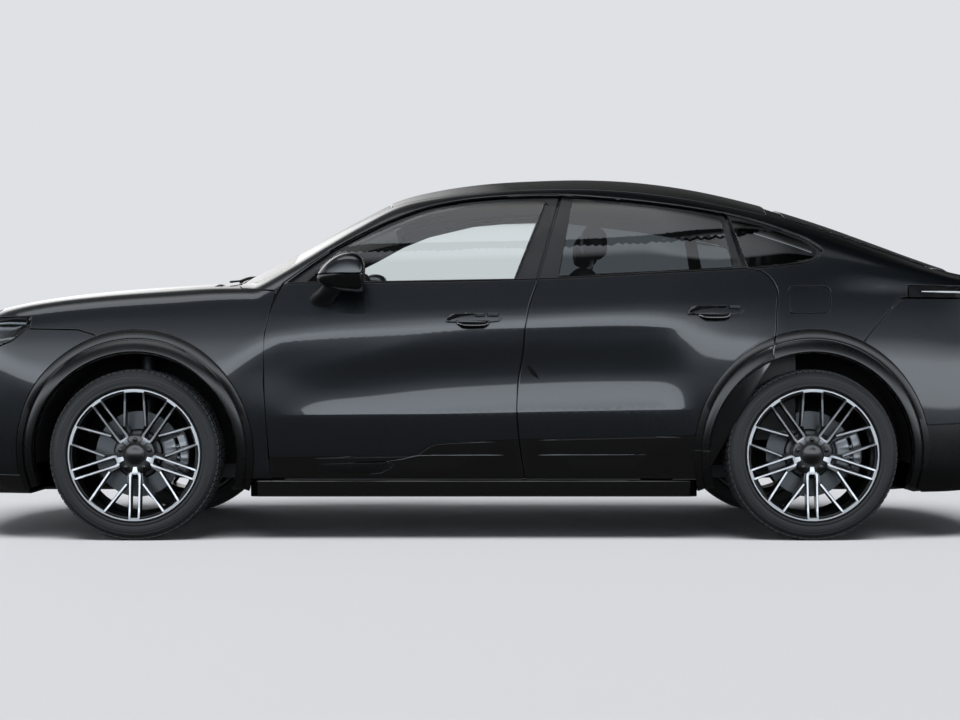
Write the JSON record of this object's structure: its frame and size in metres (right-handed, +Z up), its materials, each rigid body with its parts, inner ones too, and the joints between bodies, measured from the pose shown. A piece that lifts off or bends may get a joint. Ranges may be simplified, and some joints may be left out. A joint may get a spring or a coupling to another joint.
{
  "type": "coupe sport utility vehicle",
  "caption": "Coupe sport utility vehicle with opening doors, bonnet and tailgate, steered front wheels and rolling wheels on black arch trims.",
  "frame": {"origin": "on the ground under the middle of the car's length and width", "axes": "+Z up, -X towards the nose, -Y towards the car's left side"},
  "size_m": [4.78, 2.1962, 1.612],
  "materials": {
    "body_paint": "dark grey metallic under clear coat",
    "clear_glass": "clear laminated",
    "tinted_glass": "dark tint",
    "tyre_rubber": "matt",
    "wheel_alloy": "gloss black with machined faces",
    "headlamp": "clear lens over black",
    "tail_lamp": "red lens",
    "trim_plastic": "black",
    "underbody_plastic": "grained",
    "chassis_metal": "coated",
    "battery_case": "mill",
    "seat_leather": "smooth",
    "cabin_plastic": "soft touch"
  },
  "bodies": {
    "body": {"roof_panel": "body_paint", "side_frame_left": "body_paint", "side_frame_right": "body_paint", "floor_pan": "underbody_plastic", "front_bay": "underbody_plastic", "fenders": "body_paint", "front_bumper": "body_paint", "rear_bumper": "body_paint", "windscreen": "clear_glass", "quarter_glass": "tinted_glass", "headlamps": "headlamp", "tail_lamps": "tail_lamp", "arch_trims": "trim_plastic", "side_skirts": "trim_plastic", "arch_liners": "underbody_plastic", "front_axle_frame": "chassis_metal", "rear_axle_frame": "chassis_metal", "battery_pack": "battery_case", "front_seats": "seat_leather", "rear_bench": "seat_leather", "dashboard": "cabin_plastic", "steering_wheel": "cabin_plastic"},
    "front_door_left": {"door_front_left": "body_paint", "door_glass_front_left": "clear_glass", "mirror_left": "body_paint"},
    "rear_door_left": {"door_rear_left": "body_paint", "door_glass_rear_left": "tinted_glass"},
    "steering_left": {"knuckle_left": "chassis_metal"},
    "front_wheel_left": {"wheel_front_left": "wheel_alloy", "tyre_front_left": "tyre_rubber"},
    "rear_wheel_left": {"wheel_rear_left": "wheel_alloy", "tyre_rear_left": "tyre_rubber"},
    "front_door_right": {"door_front_right": "body_paint", "door_glass_front_right": "clear_glass", "mirror_right": "body_paint"},
    "rear_door_right": {"door_rear_right": "body_paint", "door_glass_rear_right": "tinted_glass"},
    "steering_right": {"knuckle_right": "chassis_metal"},
    "front_wheel_right": {"wheel_front_right": "wheel_alloy", "tyre_front_right": "tyre_rubber"},
    "rear_wheel_right": {"wheel_rear_right": "wheel_alloy", "tyre_rear_right": "tyre_rubber"},
    "bonnet": {"bonnet": "body_paint"},
    "tailgate": {"tailgate": "body_paint", "rear_glass": "tinted_glass", "light_bar": "tail_lamp"}
  },
  "joints": [
    {"name": "front_door_left_hinge", "type": "hinge", "parent": "body", "child": "front_door_left", "pos_m": [-0.897, -0.938, 0.7], "axis": [0, 0, -1], "range_deg": [0, 68]},
    {"name": "rear_door_left_hinge", "type": "hinge", "parent": "body", "child": "rear_door_left", "pos_m": [0.191, -0.938, 0.7], "axis": [0, 0, -1], "range_deg": [0, 66]},
    {"name": "steering_left_turn", "type": "hinge", "parent": "body", "child": "steering_left", "pos_m": [-1.494, -0.74, 0.365], "axis": [0, 0, 1], "range_deg": [-33, 33]},
    {"name": "front_wheel_left_spin", "type": "hinge", "parent": "steering_left", "child": "front_wheel_left", "pos_m": [-1.494, -0.825, 0.365], "axis": [0, 1, 0], "continuous": true},
    {"name": "rear_wheel_left_spin", "type": "hinge", "parent": "body", "child": "rear_wheel_left", "pos_m": [1.399, -0.825, 0.365], "axis": [0, 1, 0], "continuous": true},
    {"name": "front_door_right_hinge", "type": "hinge", "parent": "body", "child": "front_door_right", "pos_m": [-0.897, 0.938, 0.7], "axis": [0, 0, 1], "range_deg": [0, 68]},
    {"name": "rear_door_right_hinge", "type": "hinge", "parent": "body", "child": "rear_door_right", "pos_m": [0.191, 0.938, 0.7], "axis": [0, 0, 1], "range_deg": [0, 66]},
    {"name": "steering_right_turn", "type": "hinge", "parent": "body", "child": "steering_right", "pos_m": [-1.494, 0.74, 0.365], "axis": [0, 0, 1], "range_deg": [-33, 33]},
    {"name": "front_wheel_right_spin", "type": "hinge", "parent": "steering_right", "child": "front_wheel_right", "pos_m": [-1.494, 0.825, 0.365], "axis": [0, 1, 0], "continuous": true},
    {"name": "rear_wheel_right_spin", "type": "hinge", "parent": "body", "child": "rear_wheel_right", "pos_m": [1.399, 0.825, 0.365], "axis": [0, 1, 0], "continuous": true},
    {"name": "bonnet_hinge", "type": "hinge", "parent": "body", "child": "bonnet", "pos_m": [-1.168, 0, 1.076], "axis": [0, 1, 0], "range_deg": [0, 52]},
    {"name": "tailgate_hinge", "type": "hinge", "parent": "body", "child": "tailgate", "pos_m": [1.3, 0, 1.472], "axis": [0, -1, 0], "range_deg": [0, 78]}
  ],
  "couplings": [
    {"joint": "steering_right_turn", "follows": "steering_left_turn", "ratio": 1}
  ]
}
